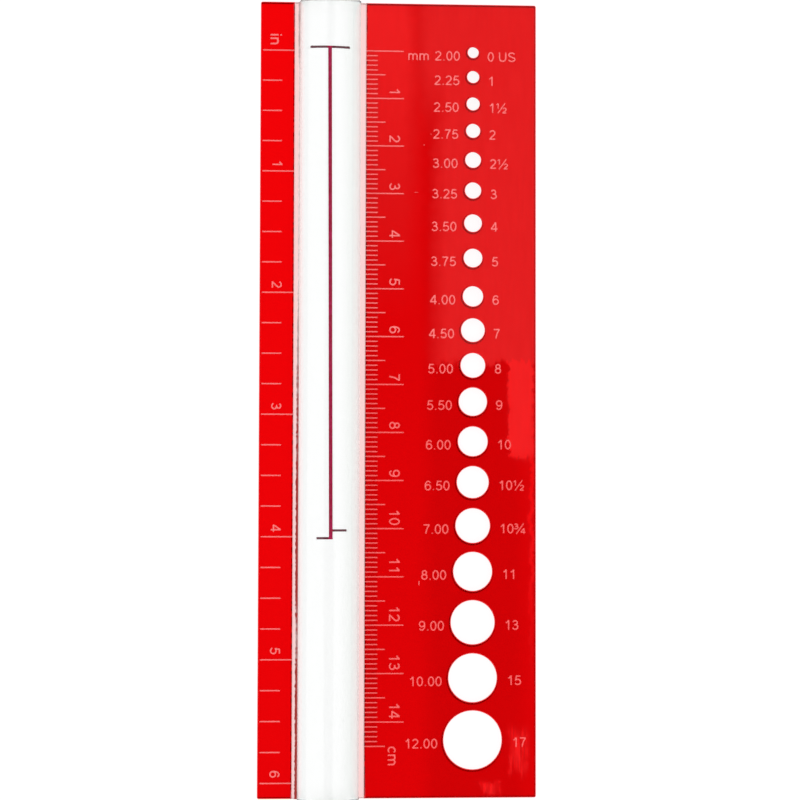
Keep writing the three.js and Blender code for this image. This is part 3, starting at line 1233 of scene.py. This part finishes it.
def noiseAt(tree, across, along, grainAcross, grainAlong):
    spread = addNode(tree, "ShaderNodeCombineXYZ")
    tree.links.new(combine(tree, "DIVIDE", across, grainAcross), spread.inputs[0])
    tree.links.new(combine(tree, "DIVIDE", along, grainAlong), spread.inputs[1])
    noise = addNode(tree, "ShaderNodeTexNoise")
    noise.inputs["Scale"].default_value = 1
    noise.inputs["Detail"].default_value = 2
    tree.links.new(spread.outputs[0], noise.inputs["Vector"])
    return noise.outputs["Fac"]


def wandered(tree, across, along, step, grain, reach):
    steps = noiseAt(tree, across, along, step * grain[0], step * grain[1])
    return ramp(tree, steps, *noiseLimits["wander"], -reach, reach)


def panelShares(tree, across, along, amount):
    # the strongest panel's share at a place. The two sockets are millimetres on the plates
    acrossGrain, alongGrain = studio["raggedGrains"]
    shifts = []
    for acrossReach, alongReach, step in studio["ragged"]:
        shifts.append((wandered(tree, across, along, step, acrossGrain, acrossReach),
                       wandered(tree, across, along, step, alongGrain, alongReach)))
    raggedAcross, raggedAlong = across, along
    for acrossShift, alongShift in shifts:
        raggedAcross = combine(tree, "ADD", raggedAcross, acrossShift)
        raggedAlong = combine(tree, "ADD", raggedAlong, alongShift)
    streakNoise = noiseAt(tree, across, along, *studio["streakGrain"])
    streaks = ramp(tree, streakNoise, *noiseLimits["streak"], 1.0, 0.0)
    most = None
    for panel in ceilingPanels:
        west, east, south, north = panel["edges"]
        acrossSoft, alongSoft = panel["soft"]
        share = combine(tree, "SUBTRACT", 1.0, combine(tree, "MULTIPLY", streaks, panel["streaks"]))
        share = combine(tree, "MULTIPLY", share, panel[amount])
        ways = ((raggedAcross, west, east, acrossSoft), (raggedAlong, south, north, alongSoft))
        for socket, low, high, soft in ways:
            rise = ramp(tree, socket, low - soft, low + soft)
            fall = ramp(tree, socket, high - soft, high + soft, 1.0, 0.0)
            share = combine(tree, "MULTIPLY", share, combine(tree, "MULTIPLY", rise, fall))
        most = share if most is None else combine(tree, "MAXIMUM", most, share)
    return most


def shadeOfScale(tree, x, y):
    # the close centimetre marks dim the floor under them, most at the lower end
    end = sizePlateLow.x + centimetreScale["millimetre"]
    fadeFrom, fadeTo = studio["scaleShadeFades"]
    lower = fade(tree, y, fadeFrom * topEdge, fadeTo * topEdge, 1.0, studio["scaleShadeLeft"])
    beside = fade(tree, x, end, end + studio["scaleShadeSoft"], studio["scaleShade"], 0.0)
    share = combine(tree, "MULTIPLY", lower, beside)
    limits = (("GREATER_THAN", x, sizePlateLow.x - sheetCuts["pastEdge"]),
              ("LESS_THAN", y, scaleZero),
              ("GREATER_THAN", y, scaleZero - centimetreScale["length"]))
    for operation, socket, limit in limits:
        share = combine(tree, "MULTIPLY", share, combine(tree, operation, socket, limit * mm))
    return share


def shadeUnderPlate(tree):
    x, y = alongAxis(tree, "X"), alongAxis(tree, "Y")
    across, along = combine(tree, "DIVIDE", x, mm), combine(tree, "DIVIDE", y, mm)
    unlit = combine(tree, "SUBTRACT", 1.0, panelShares(tree, across, along, "lit"))
    edge = sizePlateLow.x
    underWide = fade(tree, x, edge - studio["wideShadeSoft"], edge, 0.0, studio["wideShade"])
    underNarrow = combine(tree, "LESS_THAN", x, stripLow.x * mm)
    lower = fade(tree, y, -topEdge, topEdge, studio["narrowShade"], 0.0)
    shade = combine(tree, "ADD", combine(tree, "MULTIPLY", underWide, unlit),
                    combine(tree, "MULTIPLY", underNarrow, lower))
    return combine(tree, "ADD", shade, shadeOfScale(tree, x, y))


def paleFloor():
    material, tree, shader = newFinish("paleFloor")
    tone = noiseOn(tree, studio["floorMottleScale"])
    albedo = studio["floorAlbedo"]
    darker = albedo * studio["floorMottle"]
    light = (albedo, albedo, albedo, 1)
    dark = (darker, darker, darker, 1)
    tree.links.new(blendColours(tree, tone.outputs["Fac"], dark, light), shader.inputs["Base Color"])
    shader.inputs["Roughness"].default_value = studio["floorRoughness"]
    shader.inputs["Specular IOR Level"].default_value = studio["floorSpecular"]
    shader.inputs["Emission Color"].default_value = (1, 1, 1, 1)
    straight, through = whatIsSeen(tree)
    under = combine(tree, "SUBTRACT", studio["floorGlowThrough"], shadeUnderPlate(tree))
    glow = combine(tree, "ADD", combine(tree, "MULTIPLY", straight, studio["floorGlow"]),
                   combine(tree, "MULTIPLY", through, under))
    tree.links.new(glow, shader.inputs["Emission Strength"])
    half = studio["floorHalf"]
    mesh = bmesh.new()
    z = -studio["floorGap"]
    mesh.faces.new([mesh.verts.new((x, y, z)) for x, y in flatBar(-half, half, -half, half)])
    floor = asObject("floor", mesh, material)


def softSurround():
    # light from all sides, with a dark ceiling that the flat plates mirror
    world = bpy.data.worlds.new("softSurround")
    world.use_nodes = True
    bpy.context.scene.world = world
    tree = world.node_tree
    background = tree.nodes["Background"]
    place = addNode(tree, "ShaderNodeTexCoord")
    parts = addNode(tree, "ShaderNodeSeparateXYZ")
    tree.links.new(place.outputs["Generated"], parts.inputs[0])
    ring, dark = studio["ringStrength"], studio["overheadDark"]
    level = ramp(tree, parts.outputs["Z"], *studio["overheadFrom"], ring, dark)
    steepness = combine(tree, "MAXIMUM", parts.outputs["Z"], 0.01)    # never nothing, as it divides
    eye = cameraPlace()
    mirrored = []
    for axis, start in (("X", eye.x), ("Y", eye.y)):
        slope = combine(tree, "DIVIDE", parts.outputs[axis], steepness)
        mirrored.append(combine(tree, "MULTIPLY_ADD", slope, studio["cameraHeight"], start))
    level = combine(tree, "MAXIMUM", level, panelShares(tree, *mirrored, "strength"))
    straight, through = whatIsSeen(tree)
    seen = combine(tree, "MAXIMUM", straight, through)
    tree.links.new(blendValues(tree, seen, level, 1.0), background.inputs["Strength"])
    background.inputs["Color"].default_value = (1, 1, 1, 1)


def placeCamera():
    pixels = studio["pixelsPerMillimetre"] * studio["cameraHeight"] - studio["focalTrim"]
    lens = bpy.data.cameras.new("camera")
    lens.sensor_width = studio["sensorWidth"]
    lens.lens = pixels * studio["sensorWidth"] / studio["frameWidth"]
    lens.clip_start, lens.clip_end = 0.01, 10    # metres
    camera = bpy.data.objects.new("camera", lens)
    bpy.context.scene.collection.objects.link(camera)
    camera.matrix_world = Matrix.Translation(cameraPlace() * mm) @ cameraTurn().to_4x4()
    bpy.context.scene.camera = camera


paleFloor()
softSurround()
placeCamera()
bpy.context.scene.view_settings.view_transform = "Standard"
print("floor, light and camera placed")
